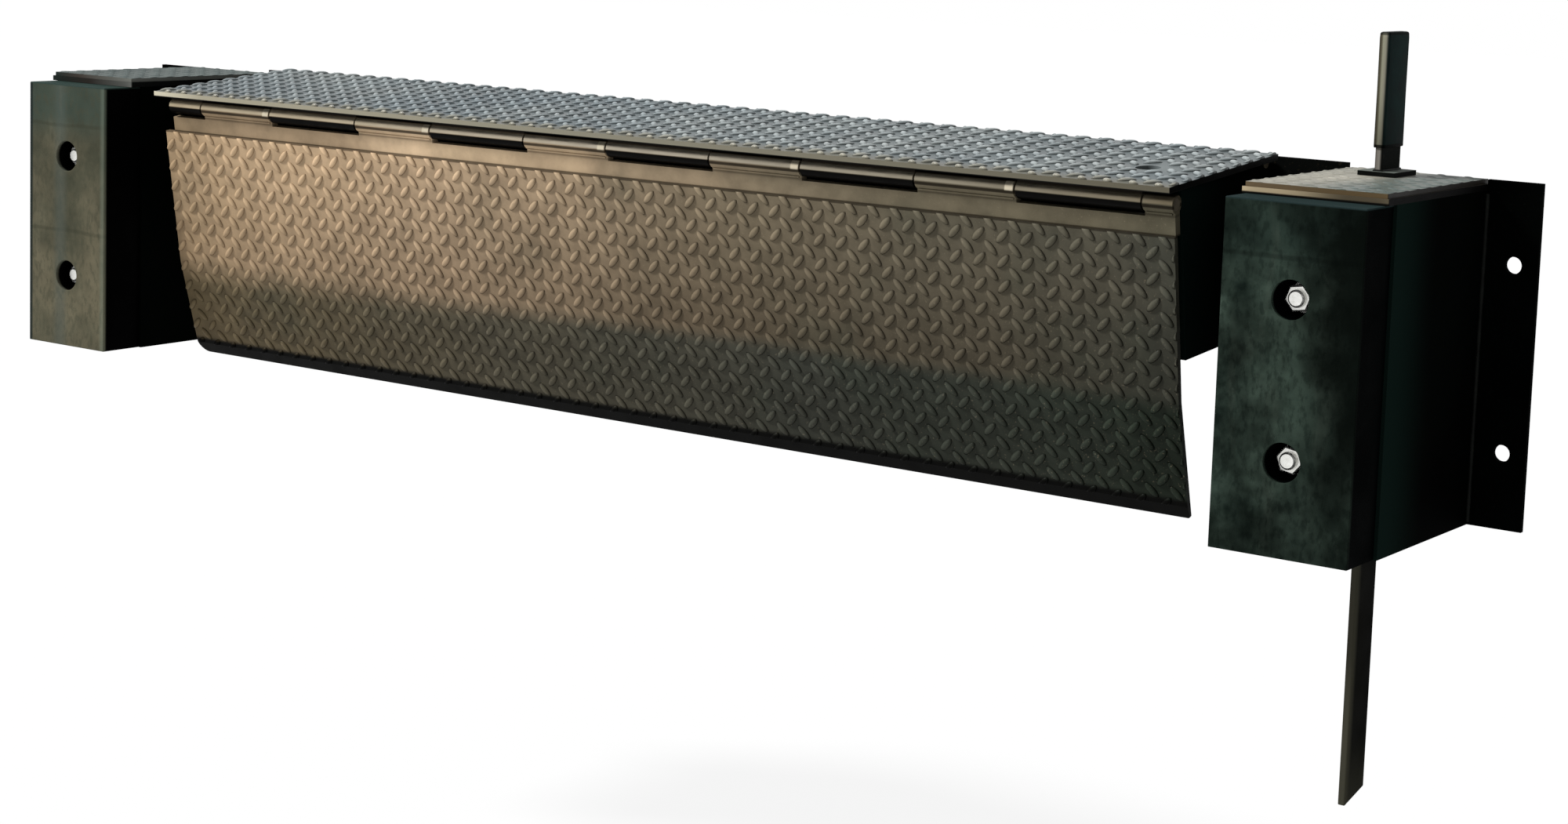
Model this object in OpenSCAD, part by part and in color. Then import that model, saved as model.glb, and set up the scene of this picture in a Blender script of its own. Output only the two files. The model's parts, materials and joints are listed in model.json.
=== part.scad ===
// Edge-of-dock leveler: a hinged ramp with a hanging lip between two bumper blocks.
// +X runs along the dock edge, +Y points into the dock face and +Z is up.
// The origin is the middle of the mounting channel's back face, in the plane of the dock face.

/* [Ramp] */
// Width of the ramp along the dock edge
deck_w = 1829; // [1524:1:2134]
// Length of the deck plate from rear edge to front edge
deck_len = 300; // [270:1:400]
// Thickness of the deck plate
deck_t = 8; // [6:0.5:12]
// Slope of the stored deck towards the front, in degrees
deck_slope = 5; // [3:0.5:8]
// Diameter of the lifting hole in the deck
lift_hole_d = 33; // [20:1:50]
// Distance from the deck's right edge to the lifting hole
lift_hole_side = 95; // [70:1:120]
// Distance from the deck's front edge to the lifting hole
lift_hole_front = 120; // [80:1:160]
// Thickness of each rib
rib_t = 10; // [6:1:16]
// Depth of the ribs below the deck plate
rib_depth = 40; // [30:1:60]

/* [Lip] */
// Inset of the lip from each end of the deck
lip_inset = 2.5; // [1:0.5:10]
// Length of the lip from its hinge axis to the toe, along its face
lip_len = 418; // [300:1:500]
// Thickness of the lip's tread plate
lip_t = 8; // [8:0.5:18]
// Lean of the hanging lip towards the dock, in degrees
lip_lean = 8.8; // [8:0.1:14]
// Bend of the lip's lower part towards the dock, in degrees
lip_bend = 7; // [3:0.5:12]
// Where the bend lies, as a share of the lip's length
bend_share = 0.615; // [0.45:0.005:0.75]
// Drop from the hinge axis to the top of the tread plate
tread_drop = 40.5; // [32:0.5:60]
// How far the tread plate's face stands in front of the hinge axis
tread_face = 8; // [7:0.5:12]
// Height of the bevel along the toe
toe_bevel_h = 18; // [8:1:30]
// Depth of the bevel along the toe
toe_bevel_d = 5; // [3:0.5:7]
// Radius of the toe's left corner
toe_left_r = 20; // [5:1:40]
// Radius of the toe's right corner, which is nearly square
toe_right_r = 4; // [2:0.5:40]

/* [Hinges] */
// Outer diameter of the hinge tubes
tube_d = 24; // [22:0.5:30]
// Diameter of the hinge rods
rod_d = 16; // [10:0.5:18]
// Radial clearance of a tube on its rod
rod_fit = 0.05; // [0.02:0.01:0.1]
// Gap between neighbouring tubes along the rod
tube_gap = 3; // [2:0.5:6]
// Clearance kept around the tubes of the other leaf
leaf_gap = 5; // [5:0.5:8]
// Length of each tube on the lip
lip_tube_len = 151; // [100:1:180]
// Distance from one lip tube to the next, before it is evened out over the width
lip_tube_pitch = 345; // [300:1:420]
// Distance from the deck's left edge to the first lip tube
lip_tube_start = 94; // [40:1:140]
// Length of the short lip tube at the right end
lip_end_tube_len = 42; // [30:1:60]
// Inset of the lip hinge's left end from the lip's left edge
hinge_left_inset = 18; // [0:1:34]
// Thickness of the bar that carries the lip's tubes
lip_bar_t = 12; // [8:0.5:14]
// How far the middle of that bar lies behind the hinge axis
lip_bar_back = 1; // [0:0.5:3]
// Number of tubes along the rear hinge, frame and ramp together
rear_tube_count = 13; // [7:2:21]
// Distance from the dock face to the rear hinge axis
rear_axis_back = 20; // [18:0.5:30]
// Depth of the rear hinge axis below the dock level
rear_axis_drop = 2; // [0:0.5:8]
// Distance from the rear hinge axis to the deck's rear edge
deck_rear_gap = 18; // [16:0.5:30]
// Height of the deck's top face above the rear hinge axis
deck_rise = 16; // [13:0.5:24]
// How far the deck's front edge reaches past the lip hinge axis
deck_overhang = 24; // [16:0.5:32]
// Thickness of the header bars that carry the ramp's tubes
header_t = 12; // [8:0.5:16]
// Inset of the headers and rear hinge from the deck's ends
header_inset = 26; // [20:1:60]
// Thickness of the strip under the frame's tubes
strip_t = 6; // [4:0.5:10]

/* [Frame] */
// Height of the mounting channel
channel_h = 196; // [150:1:240]
// Depth of the mounting channel's flanges
channel_d = 60; // [45:1:90]
// Thickness of the mounting channel
channel_t = 8; // [6:0.5:12]
// Depth of the channel's top below the dock level
channel_drop = 28; // [28:0.5:40]
// Thickness of the end gussets
gusset_t = 8; // [6:0.5:12]
// Inset of the gussets from the deck's ends
gusset_inset = 6; // [2:0.5:12]
// Clearance between a gusset's front edge and the lip's bar
gusset_gap = 13; // [8:0.5:25]
// How far a gusset's front foot hangs below the channel
gusset_fall = 14; // [0:1:40]
// How far the channel's uprights reach in behind the rear hinge's ends
upright_lap = 26; // [5:1:60]
// Gap between the uprights and the rear hinge's tubes
upright_gap = 3; // [2:0.5:5]
// How far the channel's uprights stand above the dock level
upright_rise = 6; // [0:0.5:10]

/* [Bumper blocks] */
// Gap between the ramp and each block
ramp_gap = 84.5; // [60:0.5:120]
// Width of each block
block_w = 192; // [160:1:260]
// Height of each block
block_h = 445; // [380:1:520]
// Depth of the block's steel box
box_d = 287; // [240:1:340]
// Depth of the top plates, which reach over the bumper
top_d = 311; // [290:1:360]
// Thickness of the block's walls
wall_t = 8; // [5:0.5:12]
// Thickness of the box's top plate
box_top_t = 8; // [5:0.5:12]
// Thickness of the tread cap
cap_t = 6; // [4:0.5:10]
// Inset of the tread cap from the top plate's edges
cap_inset = 3; // [0:0.5:8]
// Width that the wall flange stands out from the block
flange_w = 72; // [55:1:100]
// Thickness of the wall flange
flange_t = 8; // [6:0.5:12]
// Diameter of the anchor holes in the flange
anchor_hole_d = 22; // [14:0.5:26]
// Distance from the block to the anchor holes
anchor_hole_out = 40; // [25:0.5:42]
// Distance from the upper anchor hole to the lower one
anchor_pitch = 241; // [180:1:300]
// Depth of the upper anchor hole below the dock level
anchor_drop = 106; // [60:1:130]

/* [Bumpers] */
// Width of the rubber bumper
bumper_w = 183; // [150:1:192]
// Thickness of the rubber bumper
bumper_t = 76; // [50:1:110]
// Gap between the bumper's top and the top plate
bumper_top_gap = 0.5; // [0.5:0.5:10]
// Diameter of the bolt recesses in the bumper's face
recess_d = 49; // [40:1:64]
// Depth of the bolt recesses
recess_depth = 50; // [25:1:60]
// Diameter of the bolt holes through bumper and front plate
bumper_hole_d = 22; // [14:0.5:26]
// Distance between a bumper's two bolts
bumper_bolt_pitch = 197; // [150:1:260]

/* [Handle] */
// Distance of the handle from the right block's inner side
handle_side = 81; // [60:0.5:110]
// Distance of the handle from the dock face
handle_back = 68; // [55:0.5:110]
// Thickness of the handle's flat bar
handle_t = 10; // [8:0.5:16]
// Width of the handle's flat bar
handle_w = 57; // [40:0.5:60]
// Height of the handle's top above the dock level
handle_top = 182; // [140:1:260]
// Depth of the handle's foot below the dock level
handle_foot = 820; // [500:1:900]
// How much the foot's cut rises towards the back
foot_cut = 14; // [0:1:30]
// Clearance of the handle in its slot, on each side
slot_gap = 3; // [2:0.5:6]
// Length of the grip
grip_len = 146; // [100:1:180]
// Wall thickness of the grip
grip_wall = 2.5; // [2:0.5:5]
// Width of the stop collar, across the bar's thickness
collar_w = 50; // [40:1:90]
// Length of the stop collar, along the bar's width
collar_len = 68; // [66:1:104]
// Thickness of the stop collar
collar_t = 6; // [4:0.5:10]

/* [Hidden] */
$fn = 64;

// Number of stiffening ribs under the deck, one node each
rib_count = 6;
// Small gap under a piece that rests on another but moves away from it
rest_gap = 0.3;
// Extra length that lets a cutting shape pass right through a plate
through = 1;
tube_r = tube_d / 2;
bore_r = rod_d / 2 + rod_fit;

// Height of the dock level above the origin
dock_level = channel_h / 2 + channel_drop;
channel_top = channel_h / 2;

// Rear hinge axis, in the part's frame
rear_axis_y = -rear_axis_back;
rear_axis_z = dock_level - rear_axis_drop;
hinge_half = deck_w / 2 - header_inset;
rear_pitch = 2 * hinge_half / rear_tube_count;

// Ramp frame: at the rear hinge axis, with Y along the deck and Z square to it
deck_rear_y = -deck_rear_gap;
deck_front_y = deck_rear_y - deck_len;
deck_under_z = deck_rise - deck_t;
lip_axis_y = deck_front_y + deck_overhang;
lip_axis_z = deck_under_z - leaf_gap - tube_r;
rear_header_y = deck_rear_y - tube_r / 2;
front_header_y = lip_axis_y + tube_r + leaf_gap;

// Lip frame: at the lip hinge axis, with Z along the lip
lip_w = deck_w - 2 * lip_inset;
bar_face_y = lip_bar_back - lip_bar_t / 2;
bar_back_y = bar_face_y + lip_bar_t;
notch_z = -tube_r - leaf_gap;
lip_hinge_left_x = hinge_left_inset - lip_w / 2;
bend_drop = lip_len * bend_share;

// Bumper blocks, right-hand side
block_in_x = deck_w / 2 + ramp_gap;
block_out_x = block_in_x + block_w;
block_mid_x = (block_in_x + block_out_x) / 2;
block_foot_z = dock_level - block_h;
wall_top_z = dock_level - cap_t - box_top_t;
bumper_top_z = wall_top_z - bumper_top_gap;
bumper_mid_z = (block_foot_z + bumper_top_z) / 2;

// Handle
handle_x = block_in_x + handle_side;
handle_y = -handle_back;

// A point of the ramp frame, in the part's Y and Z
function ramp_point(y, z) = [
    rear_axis_y + y * cos(deck_slope) - z * sin(deck_slope),
    rear_axis_z + y * sin(deck_slope) + z * cos(deck_slope)
];

// The lip hinge axis, and a point of the lip frame, in the part's Y and Z
lip_axis = ramp_point(lip_axis_y, lip_axis_z);
function lip_point(y, z) = [
    lip_axis[0] + y * cos(lip_lean) - z * sin(lip_lean),
    lip_axis[1] + y * sin(lip_lean) + z * cos(lip_lean)
];

// A point below the lip's bend, turned about the bend line on the tread's face
function bent_point(y, z) = [
    -tread_face + (y + tread_face) * cos(lip_bend) - (z + bend_drop) * sin(lip_bend),
    -bend_drop + (y + tread_face) * sin(lip_bend) + (z + bend_drop) * cos(lip_bend)
];

// The lip's tubes before the short one are spread evenly over the width that it leaves
tube_run = deck_w - lip_inset - lip_end_tube_len - lip_tube_start;
lip_tube_count = round(tube_run / lip_tube_pitch);
lip_tube_step = tube_run / lip_tube_count;

// Starts and lengths of the lip's tubes, from the deck's left edge
lip_tubes = concat(
    [for (i = [0 : lip_tube_count - 1]) [lip_tube_start + i * lip_tube_step, lip_tube_len]],
    [[lip_tube_start + tube_run, lip_end_tube_len]]
);

// Starts and lengths of the deck's tubes, which fill the spaces between the lip's tubes
deck_tube_starts = concat(
    [lip_inset + hinge_left_inset],
    [for (i = [0 : lip_tube_count - 1]) lip_tubes[i][0] + lip_tubes[i][1] + tube_gap]
);
deck_tubes = [
    for (i = [0 : lip_tube_count]) [deck_tube_starts[i], lip_tubes[i][0] - tube_gap - deck_tube_starts[i]]
];

steel_black = "#22241f";
tread_grey = "#5c605d";
lip_bronze = "#6b5840";
rubber_black = "#1b201c";
rod_steel = "#8b8a80";
handle_black = "#191a18";

// A box from one corner to the opposite corner
module block(low, high) {
    translate(low)
        cube(high - low);
}

// A flat outline in Y and Z, drawn out along X from one place to another
module along_x(from_x, to_x) {
    translate([from_x, 0, 0])
        rotate([90, 0, 90])
            linear_extrude(to_x - from_x)
                children();
}

// A round bar along X at the origin
module round_x(from_x, to_x, radius) {
    translate([from_x, 0, 0])
        rotate([0, 90, 0])
            cylinder(h = to_x - from_x, r = radius);
}

module at_rear_axis() {
    translate([0, rear_axis_y, rear_axis_z])
        children();
}

module in_ramp() {
    at_rear_axis()
        rotate([deck_slope, 0, 0])
            children();
}

module in_lip() {
    translate([0, lip_axis[0], lip_axis[1]])
        rotate([lip_lean, 0, 0])
            children();
}

// The lip frame turned by the bend, for shapes on the lip's lower part
module below_bend() {
    translate([0, -tread_face, -bend_drop])
        rotate([lip_bend, 0, 0])
            translate([0, tread_face, bend_drop])
                children();
}

module on_left() {
    mirror([1, 0, 0])
        children();
}

// The channel's section: a web on the dock face and two flanges to the front
module channel_section() {
    difference() {
        translate([-channel_d, -channel_h / 2])
            square([channel_d, channel_h]);
        translate([-channel_d - through, -channel_h / 2 + channel_t])
            square([channel_d + through - channel_t, channel_h - 2 * channel_t]);
    }
}

// Upright on the right: it carries the channel's web up behind the rear hinge's end, as far as the block
module channel_upright() {
    upright_t = min(channel_t, rear_axis_back - tube_r - upright_gap);
    block([hinge_half - upright_lap, -upright_t, channel_top - channel_t],
          [block_in_x, 0, dock_level + upright_rise]);
}

module mounting_channel() {
    color(steel_black)
        union() {
            along_x(-block_in_x, block_in_x)
                channel_section();
            channel_upright();
            on_left()
                channel_upright();
        }
}

// Places of the rear hinge's tubes: the even ones are the frame's, the odd ones the ramp's
module rear_tubes(first) {
    for (i = [first : 2 : rear_tube_count - 1]) {
        from_x = -hinge_half + i * rear_pitch + tube_gap / 2;
        translate([from_x, 0, 0])
            children();
    }
}

module frame_hinge_leaf() {
    tube_len = rear_pitch - tube_gap;
    foot_z = channel_top + strip_t / 2 - rear_axis_z;
    color(steel_black)
        difference() {
            union() {
                block([-hinge_half, -channel_d, channel_top],
                      [hinge_half, -channel_t, channel_top + strip_t]);
                at_rear_axis()
                    rear_tubes(0) {
                        round_x(0, tube_len, tube_r);
                        block([0, -tube_r * 2 / 3, foot_z], [tube_len, tube_r * 2 / 3, 0]);
                    }
            }
            at_rear_axis()
                round_x(-hinge_half - through, hinge_half + through, bore_r);
        }
}

module ramp_hinge_rod() {
    color(rod_steel)
        at_rear_axis()
            round_x(-hinge_half, hinge_half, rod_d / 2);
}

// Gusset on the right: the deck rests on its sloped top edge, and its foot falls to the front
module end_gusset() {
    out_x = deck_w / 2 - gusset_inset;
    top_z = deck_under_z - rest_gap;
    front_y = bar_back_y + gusset_gap;
    foot_z = -channel_h / 2 - gusset_fall;
    foot_drop = (foot_z - lip_axis[1] - front_y * sin(lip_lean)) / cos(lip_lean);
    color(steel_black)
        along_x(out_x - gusset_t, out_x)
            difference() {
                polygon([
                    [-channel_t, channel_t - channel_h / 2],
                    [-channel_t, channel_top],
                    ramp_point(-channel_d, top_z),
                    ramp_point(front_header_y, top_z),
                    lip_point(front_y, notch_z),
                    lip_point(front_y, foot_drop)
                ]);
                channel_section();
            }
}

module right_end_gusset() {
    end_gusset();
}

module left_end_gusset() {
    on_left()
        end_gusset();
}

// Side wall of the right block's box, from one X to another
module side_wall(from_x) {
    color(steel_black)
        block([from_x, -box_d, block_foot_z], [from_x + wall_t, 0, wall_top_z]);
}

module right_inner_wall() {
    side_wall(block_in_x);
}

module left_inner_wall() {
    on_left()
        side_wall(block_in_x);
}

module right_outer_wall() {
    side_wall(block_out_x - wall_t);
}

module left_outer_wall() {
    on_left()
        side_wall(block_out_x - wall_t);
}

// Places of the right bumper's two bolts, on the box's front face
module bumper_bolts() {
    for (side = [-1, 1])
        translate([block_mid_x, -box_d, bumper_mid_z + side * bumper_bolt_pitch / 2])
            rotate([90, 0, 0])
                children();
}

module front_plate() {
    color(steel_black)
        difference() {
            block([block_in_x + wall_t, -box_d, block_foot_z],
                  [block_out_x - wall_t, -box_d + wall_t, wall_top_z]);
            bumper_bolts()
                translate([0, 0, -wall_t - through])
                    cylinder(h = wall_t + 2 * through, d = bumper_hole_d);
        }
}

module right_front_plate() {
    front_plate();
}

module left_front_plate() {
    on_left()
        front_plate();
}

// The slot that the handle's bar hangs through
module handle_slot() {
    slot_t = handle_t + 2 * slot_gap;
    slot_w = handle_w + 2 * slot_gap;
    block([handle_x - slot_t / 2, handle_y - slot_w / 2, wall_top_z - through],
          [handle_x + slot_t / 2, handle_y + slot_w / 2, dock_level + through]);
}

module box_top() {
    color(steel_black)
        block([block_in_x, -top_d, wall_top_z], [block_out_x, 0, wall_top_z + box_top_t]);
}

module right_box_top() {
    difference() {
        box_top();
        handle_slot();
    }
}

module left_box_top() {
    on_left()
        box_top();
}

module tread_cap() {
    color(tread_grey)
        block([block_in_x + cap_inset, -top_d + cap_inset, dock_level - cap_t],
              [block_out_x - cap_inset, 0, dock_level]);
}

module right_tread_cap() {
    difference() {
        tread_cap();
        handle_slot();
    }
}

module left_tread_cap() {
    on_left()
        tread_cap();
}

module wall_flange() {
    color(steel_black)
        difference() {
            block([block_out_x, -flange_t, block_foot_z], [block_out_x + flange_w, 0, dock_level]);
            for (i = [0, 1])
                translate([block_out_x + anchor_hole_out, through, dock_level - anchor_drop - i * anchor_pitch])
                    rotate([90, 0, 0])
                        cylinder(h = flange_t + 2 * through, d = anchor_hole_d);
        }
}

module right_wall_flange() {
    wall_flange();
}

module left_wall_flange() {
    on_left()
        wall_flange();
}

module bumper() {
    color(rubber_black)
        difference() {
            block([block_mid_x - bumper_w / 2, -box_d - bumper_t, block_foot_z],
                  [block_mid_x + bumper_w / 2, -box_d, bumper_top_z]);
            bumper_bolts() {
                translate([0, 0, -through])
                    cylinder(h = bumper_t + 2 * through, d = bumper_hole_d);
                translate([0, 0, bumper_t - recess_depth])
                    cylinder(h = recess_depth + through, d = recess_d);
            }
        }
}

module right_bumper() {
    bumper();
}

module left_bumper() {
    on_left()
        bumper();
}

module deck_plate() {
    color(tread_grey)
        in_ramp()
            difference() {
                block([-deck_w / 2, deck_front_y, deck_under_z], [deck_w / 2, deck_rear_y, deck_rise]);
                translate([deck_w / 2 - lift_hole_side, deck_front_y + lift_hole_front, deck_under_z - through])
                    cylinder(h = deck_t + 2 * through, d = lift_hole_d);
            }
}

module ramp_rear_leaf() {
    tube_len = rear_pitch - tube_gap;
    color(steel_black)
        in_ramp()
            difference() {
                union() {
                    block([-hinge_half, rear_header_y - header_t, -tube_r * 2 / 3],
                          [hinge_half, rear_header_y, deck_under_z]);
                    rear_tubes(1) {
                        round_x(0, tube_len, tube_r);
                        block([0, rear_header_y - header_t / 2, -tube_r / 2], [tube_len, 0, tube_r / 2]);
                    }
                }
                round_x(-hinge_half - through, hinge_half + through, bore_r);
            }
}

module ramp_front_leaf() {
    color(steel_black)
        in_ramp()
            difference() {
                union() {
                    block([-hinge_half, front_header_y, lip_axis_z - tube_r / 2],
                          [hinge_half, front_header_y + header_t, deck_under_z]);
                    for (tube = deck_tubes)
                        translate([tube[0] - deck_w / 2, lip_axis_y, 0]) {
                            translate([0, 0, lip_axis_z])
                                round_x(0, tube[1], tube_r);
                            block([0, -tube_r / 2, lip_axis_z], [tube[1], tube_r / 2, deck_under_z]);
                        }
                    for (tube = deck_tubes)
                        block([max(tube[0] - deck_w / 2, -hinge_half), lip_axis_y, lip_axis_z - tube_r / 3],
                              [tube[0] + tube[1] - deck_w / 2, front_header_y + header_t / 2,
                               lip_axis_z + tube_r / 3]);
                }
                translate([0, lip_axis_y, lip_axis_z])
                    round_x(-deck_w / 2 - through, deck_w / 2 + through, bore_r);
            }
}

// One rib from the rear header to the front one, cut away over the mounting channel
module ramp_rib(number) {
    rear_y = rear_header_y - header_t;
    front_y = front_header_y + header_t;
    under_z = deck_under_z - rib_depth;
    taper_y = rear_y - channel_d;
    spread = 2 * (hinge_half - rear_pitch);
    mid_x = -spread / 2 + (number - 1) * spread / (rib_count - 1);
    color(steel_black)
        in_ramp()
            along_x(mid_x - rib_t / 2, mid_x + rib_t / 2)
                polygon([
                    [rear_y, deck_under_z], [rear_y, 0], [taper_y, under_z],
                    [front_y, under_z], [front_y, deck_under_z]
                ]);
}

module lip_hinge_rod() {
    color(rod_steel)
        in_ramp()
            translate([0, lip_axis_y, lip_axis_z])
                round_x(lip_hinge_left_x, lip_w / 2, rod_d / 2);
}

// Waste at a lower corner of the lip, outside its round
module toe_corner_waste(corner_r) {
    difference() {
        block([-corner_r, -tread_face - through, -lip_len - through],
              [through, lip_t + through, -lip_len + corner_r]);
        translate([-corner_r, lip_t + 2 * through, -lip_len + corner_r])
            rotate([90, 0, 0])
                cylinder(h = lip_t + tread_face + 4 * through, r = corner_r);
    }
}

module lip_tread_plate() {
    back_y = lip_t - tread_face;
    color(lip_bronze)
        in_lip()
            difference() {
                along_x(-lip_w / 2, lip_w / 2)
                    polygon([
                        [back_y, -tread_drop], [-tread_face, -tread_drop], [-tread_face, -bend_drop],
                        bent_point(-tread_face, toe_bevel_h - lip_len),
                        bent_point(toe_bevel_d - tread_face, -lip_len),
                        bent_point(back_y, -lip_len),
                        [back_y, -bend_drop + lip_t * tan(lip_bend / 2)]
                    ]);
                below_bend() {
                    translate([lip_w / 2, 0, 0])
                        toe_corner_waste(toe_right_r);
                    translate([-lip_w / 2, 0, 0])
                        mirror([1, 0, 0])
                            toe_corner_waste(toe_left_r);
                }
            }
}

module lip_hinge_leaf() {
    color(lip_bronze)
        in_lip()
            difference() {
                union() {
                    block([lip_hinge_left_x, bar_face_y, -tread_drop], [lip_w / 2, bar_back_y, notch_z]);
                    for (tube = lip_tubes)
                        translate([tube[0] - deck_w / 2, 0, 0]) {
                            round_x(0, tube[1], tube_r);
                            block([0, bar_face_y, notch_z - through], [tube[1], bar_back_y, 0]);
                        }
                }
                round_x(-deck_w / 2 - through, deck_w / 2 + through, bore_r);
            }
}

// The handle's flat bar, grown by a margin on each side, between two heights
module handle_section(margin, from_z, to_z) {
    block([handle_x - handle_t / 2 - margin, handle_y - handle_w / 2 - margin, from_z],
          [handle_x + handle_t / 2 + margin, handle_y + handle_w / 2 + margin, to_z]);
}

module handle_bar() {
    foot_z = dock_level - handle_foot;
    bar_top_z = dock_level + handle_top - grip_wall;
    front_y = handle_y - handle_w / 2;
    back_y = handle_y + handle_w / 2;
    color(handle_black)
        along_x(handle_x - handle_t / 2, handle_x + handle_t / 2)
            polygon([
                [front_y, foot_z], [back_y, foot_z + foot_cut], [back_y, bar_top_z], [front_y, bar_top_z]
            ]);
}

module handle_grip() {
    top_z = dock_level + handle_top;
    color(handle_black)
        difference() {
            handle_section(grip_wall, top_z - grip_len, top_z);
            handle_section(0, top_z - grip_len - through, top_z - grip_wall);
        }
}

module handle_collar() {
    low_z = dock_level + rest_gap;
    color(handle_black)
        difference() {
            block([handle_x - collar_w / 2, handle_y - collar_len / 2, low_z],
                  [handle_x + collar_w / 2, handle_y + collar_len / 2, low_z + collar_t]);
            handle_section(0, low_z - through, low_z + collar_t + through);
        }
}

mounting_channel();
frame_hinge_leaf();
ramp_hinge_rod();
left_end_gusset();
right_end_gusset();
left_inner_wall();
left_outer_wall();
left_front_plate();
left_box_top();
left_tread_cap();
left_wall_flange();
left_bumper();
right_inner_wall();
right_outer_wall();
right_front_plate();
right_box_top();
right_tread_cap();
right_wall_flange();
right_bumper();
deck_plate();
ramp_rear_leaf();
ramp_front_leaf();
lip_hinge_rod();
ramp_rib(1);  // ramp_rib_1
ramp_rib(2);  // ramp_rib_2
ramp_rib(3);  // ramp_rib_3
ramp_rib(4);  // ramp_rib_4
ramp_rib(5);  // ramp_rib_5
ramp_rib(6);  // ramp_rib_6
lip_tread_plate();
lip_hinge_leaf();
handle_bar();
handle_grip();
handle_collar();
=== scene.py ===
import json
import math

import bmesh
import bpy
from mathutils import Matrix, Vector


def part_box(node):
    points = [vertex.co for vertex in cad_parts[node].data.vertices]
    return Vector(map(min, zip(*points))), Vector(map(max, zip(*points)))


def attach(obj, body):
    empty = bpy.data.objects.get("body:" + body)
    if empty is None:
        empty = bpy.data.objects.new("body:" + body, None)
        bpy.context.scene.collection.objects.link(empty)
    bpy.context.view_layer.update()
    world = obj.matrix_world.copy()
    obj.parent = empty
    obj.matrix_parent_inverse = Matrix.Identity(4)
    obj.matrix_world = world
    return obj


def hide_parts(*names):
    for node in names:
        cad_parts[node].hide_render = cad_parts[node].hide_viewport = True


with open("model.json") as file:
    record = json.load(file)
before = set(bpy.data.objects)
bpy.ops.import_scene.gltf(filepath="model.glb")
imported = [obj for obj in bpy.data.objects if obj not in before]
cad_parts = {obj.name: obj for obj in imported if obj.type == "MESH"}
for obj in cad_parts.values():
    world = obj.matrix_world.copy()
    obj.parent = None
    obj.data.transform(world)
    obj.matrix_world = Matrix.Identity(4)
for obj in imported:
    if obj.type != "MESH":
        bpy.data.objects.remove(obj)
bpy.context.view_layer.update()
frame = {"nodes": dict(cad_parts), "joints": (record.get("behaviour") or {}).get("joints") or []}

mm = 0.001
scene = bpy.context.scene
cadNodes = frame["nodes"]
joints = {joint["name"]: joint for joint in frame["joints"]}
sides = (("left", -1), ("right", 1))

# stored angles in degrees; the ramp's own frame sits on the rear hinge, the lip's on the front hinge
stored = {"deckSlope": 5.0, "lipLean": 8.8, "lipBend": 7.0}
# the deck and the lip's face in those frames, in mm: half width, and places measured from the hinge axis
deckPlate = {"half": 914.5, "front": -318, "rear": -18, "top": 16}
lipPlate = {"half": 912, "face": -8, "top": -40.5, "bend": -257.07, "bevel": -400}


def hingeFrame(jointName, degrees):
    place = Matrix.Translation(Vector(joints[jointName]["pos_m"]))
    return place @ Matrix.Rotation(math.radians(degrees), 4, "X")


rampFrame = hingeFrame("ramp_hinge", stored["deckSlope"])
lipFrame = hingeFrame("lip_hinge", stored["lipLean"])


# node helpers, for materials and for geometry

def put(tree, kind, sockets=None, **settings):
    node = tree.nodes.new(kind)
    for key, value in settings.items():
        setattr(node, key, value)
    for key, value in (sockets or {}).items():
        if isinstance(value, bpy.types.NodeSocket):
            tree.links.new(value, node.inputs[key])
        else:
            node.inputs[key].default_value = value
    return node


def math2(tree, operation, first, second=0.0):
    return put(tree, "ShaderNodeMath", {0: first, 1: second}, operation=operation).outputs[0]


def vectorMath(tree, operation, first, second=(0.0, 0.0, 0.0)):
    return put(tree, "ShaderNodeVectorMath", {0: first, 1: second}, operation=operation).outputs[0]


def mapRange(tree, value, low, high, toLow=0.0, toHigh=1.0, kind="LINEAR"):
    spans = {"Value": value, "From Min": low, "From Max": high, "To Min": toLow, "To Max": toHigh}
    return put(tree, "ShaderNodeMapRange", spans, interpolation_type=kind).outputs[0]


def blendRange(tree, value, low, high, toLow=0.0, toHigh=1.0):  # the same with soft ends
    return mapRange(tree, value, low, high, toLow, toHigh, "SMOOTHSTEP")


def spread(tree, value, toLow, toHigh):  # the middle part of a noise over a range
    return blendRange(tree, value, 0.3, 0.7, toLow, toHigh)


def rgb(red, green, blue):  # screen colour, 0 to 255, to linear light
    def linear(value):
        share = value / 255
        return share / 12.92 if share <= 0.04045 else ((share + 0.055) / 1.055) ** 2.4
    return (linear(red), linear(green), linear(blue), 1.0)


def noise(tree, coords, scale, detail=4.0, stretch=None):
    if stretch:
        coords = put(tree, "ShaderNodeMapping", {"Vector": coords, "Scale": stretch}).outputs[0]
    look = {"Vector": coords, "Scale": scale, "Detail": detail, "Roughness": 0.58}
    return put(tree, "ShaderNodeTexNoise", look).outputs["Fac"]


def ramp(tree, factor, stops):
    node = put(tree, "ShaderNodeValToRGB", {"Fac": factor})
    points = node.color_ramp.elements
    while len(points) < len(stops):
        points.new(1.0)
    for point, (place, colour) in zip(points, stops):
        point.position = place
        point.color = colour
    return node.outputs["Color"]


def mixColour(tree, factor, first, second, mode="MIX"):
    node = put(tree, "ShaderNodeMix", {0: factor, 6: first, 7: second}, data_type="RGBA", blend_type=mode)
    return node.outputs[2]


def dim(tree, colour, factor):  # multiplies a colour by a grey factor
    grey = put(tree, "ShaderNodeCombineColor", {0: factor, 1: factor, 2: factor}).outputs[0]
    return mixColour(tree, 1.0, colour, grey, "MULTIPLY")


def lineMask(tree, value, middle, half, soft, strength):  # a soft-edged line round one value
    gap = math2(tree, "ABSOLUTE", math2(tree, "SUBTRACT", value, middle))
    return blendRange(tree, gap, half + soft, half, 0.0, strength)


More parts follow.
